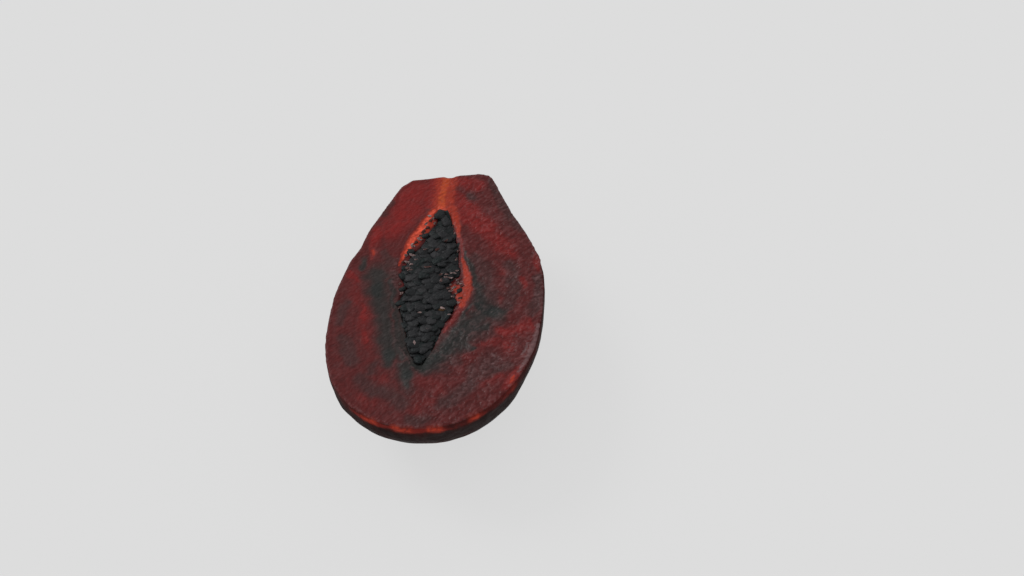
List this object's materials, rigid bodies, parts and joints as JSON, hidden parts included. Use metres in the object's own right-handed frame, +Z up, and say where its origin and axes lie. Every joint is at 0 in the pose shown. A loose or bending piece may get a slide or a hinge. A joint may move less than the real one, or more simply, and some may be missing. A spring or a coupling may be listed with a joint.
{
  "type": "papaya half",
  "caption": "Half of a papaya cut lengthwise, pear-shaped with a trimmed stalk end, lying on its skin with the cut face up and dark seeds heaped in its pointed hollow.",
  "frame": {"origin": "on the resting surface, under the middle of the fruit's outline", "axes": "+Y towards the trimmed stalk end, +Z up out of the cut face, +X to the right as the cut face is seen with the stalk end away"},
  "size_m": [0.1216, 0.187, 0.0584],
  "materials": {
    "flesh_and_rind": "moist, dusky red",
    "seeds": "satin, near black"
  },
  "bodies": {
    "root": {"papaya_half": "flesh_and_rind", "seed_mass": "seeds"}
  },
  "joints": []
}
